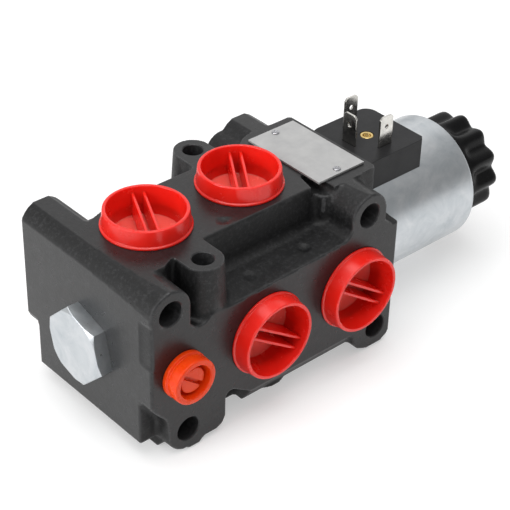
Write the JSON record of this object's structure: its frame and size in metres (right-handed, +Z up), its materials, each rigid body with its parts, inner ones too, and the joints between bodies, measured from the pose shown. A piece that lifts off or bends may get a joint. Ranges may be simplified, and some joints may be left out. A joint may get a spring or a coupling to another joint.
{
  "type": "solenoid directional valve",
  "caption": "Cast hydraulic diverter valve block with capped ports on its top and sides, a hexagon end plug, a round solenoid coil with blade contacts and a lobed knob nut",
  "frame": {"origin": "bottom centre of the whole valve, on the plane of the casting's base", "axes": "+X along the spool from the end plug to the coil, +Y across the body away from the side with the drain port, +Z up through the top ports"},
  "size_m": [0.188, 0.0824, 0.0758],
  "materials": {
    "cast_body": "grey iron casting under thin satin charcoal paint, fine sand-cast grain",
    "zinc_steel": "zinc-plated turned steel with a pale blue tint",
    "bright_steel": "ground and hardened steel",
    "spring_steel": "drawn spring wire",
    "black_rubber": "nitrile rubber",
    "black_nylon": "moulded glass-filled nylon, satin",
    "knob_nylon": "moulded nylon, semi-gloss black",
    "copper": "enamelled copper wire winding",
    "tinned_brass": "nickel-plated contact blades",
    "brass": "turned brass",
    "red_cap": "soft red polyethylene, slightly translucent",
    "orange_cap": "soft orange polyethylene, slightly translucent",
    "plate": "matt anodised aluminium sheet"
  },
  "bodies": {
    "housing": {"valve_body": "cast_body", "end_plug": "zinc_steel", "end_plug_seal": "black_rubber", "armature_tube": "zinc_steel", "pole_piece": "bright_steel", "tube_seal": "black_rubber", "coil_rear_seal": "black_rubber", "return_spring": "spring_steel", "nameplate": "plate", "nameplate_pins": "bright_steel"},
    "spool_set": {"spool": "bright_steel", "spring_guide": "bright_steel"},
    "armature_set": {"armature": "bright_steel", "push_pin": "bright_steel"},
    "override": {"override_pin": "brass", "override_seal": "black_rubber"},
    "coil": {"coil_can": "zinc_steel", "coil_end_plate": "zinc_steel", "coil_bobbin": "black_nylon", "coil_winding": "copper", "connector_base": "black_nylon", "contact_pin_1": "tinned_brass", "contact_pin_2": "tinned_brass", "ground_pin": "tinned_brass", "insert_bush": "brass"},
    "nut": {"coil_nut": "knob_nylon", "coil_front_seal": "black_rubber"},
    "top_cap_1_body": {"top_cap_1": "red_cap"},
    "top_cap_2_body": {"top_cap_2": "red_cap"},
    "near_cap_1_body": {"near_cap_1": "red_cap"},
    "near_cap_2_body": {"near_cap_2": "red_cap"},
    "far_cap_1_body": {"far_cap_1": "red_cap"},
    "far_cap_2_body": {"far_cap_2": "red_cap"},
    "drain_cap_body": {"drain_cap": "orange_cap"}
  },
  "joints": [
    {"name": "spool_shift", "type": "slide", "parent": "housing", "child": "spool_set", "axis": [-1, 0, 0], "range_m": [0, 0.004], "stiffness_N_per_m": 2500, "springref_m": -0.008, "deforming": ["return_spring"]},
    {"name": "armature_stroke", "type": "slide", "parent": "housing", "child": "armature_set", "axis": [-1, 0, 0], "range_m": [0, 0.004]},
    {"name": "override_push", "type": "slide", "parent": "housing", "child": "override", "axis": [-1, 0, 0], "range_m": [0, 0.004]},
    {"name": "coil_turn", "type": "hinge", "parent": "housing", "child": "coil", "pos_m": [0.0484, 0, 0.0327], "axis": [1, 0, 0], "continuous": true},
    {"name": "nut_turn", "type": "hinge", "parent": "housing", "child": "nut", "pos_m": [0.0814, 0, 0.0327], "axis": [1, 0, 0], "continuous": true},
    {"name": "top_cap_1_pull", "type": "slide", "parent": "housing", "child": "top_cap_1_body", "axis": [0, 0, 1], "range_m": [0, 0.014]},
    {"name": "top_cap_2_pull", "type": "slide", "parent": "housing", "child": "top_cap_2_body", "axis": [0, 0, 1], "range_m": [0, 0.014]},
    {"name": "near_cap_1_pull", "type": "slide", "parent": "housing", "child": "near_cap_1_body", "axis": [0, -1, 0], "range_m": [0, 0.014]},
    {"name": "near_cap_2_pull", "type": "slide", "parent": "housing", "child": "near_cap_2_body", "axis": [0, -1, 0], "range_m": [0, 0.014]},
    {"name": "far_cap_1_pull", "type": "slide", "parent": "housing", "child": "far_cap_1_body", "axis": [0, 1, 0], "range_m": [0, 0.014]},
    {"name": "far_cap_2_pull", "type": "slide", "parent": "housing", "child": "far_cap_2_body", "axis": [0, 1, 0], "range_m": [0, 0.014]},
    {"name": "drain_cap_pull", "type": "slide", "parent": "housing", "child": "drain_cap_body", "axis": [0, -1, 0], "range_m": [0, 0.014]}
  ],
  "couplings": [
    {"joint": "armature_stroke", "follows": "spool_shift", "ratio": 1},
    {"joint": "override_push", "follows": "spool_shift", "ratio": 1}
  ]
}
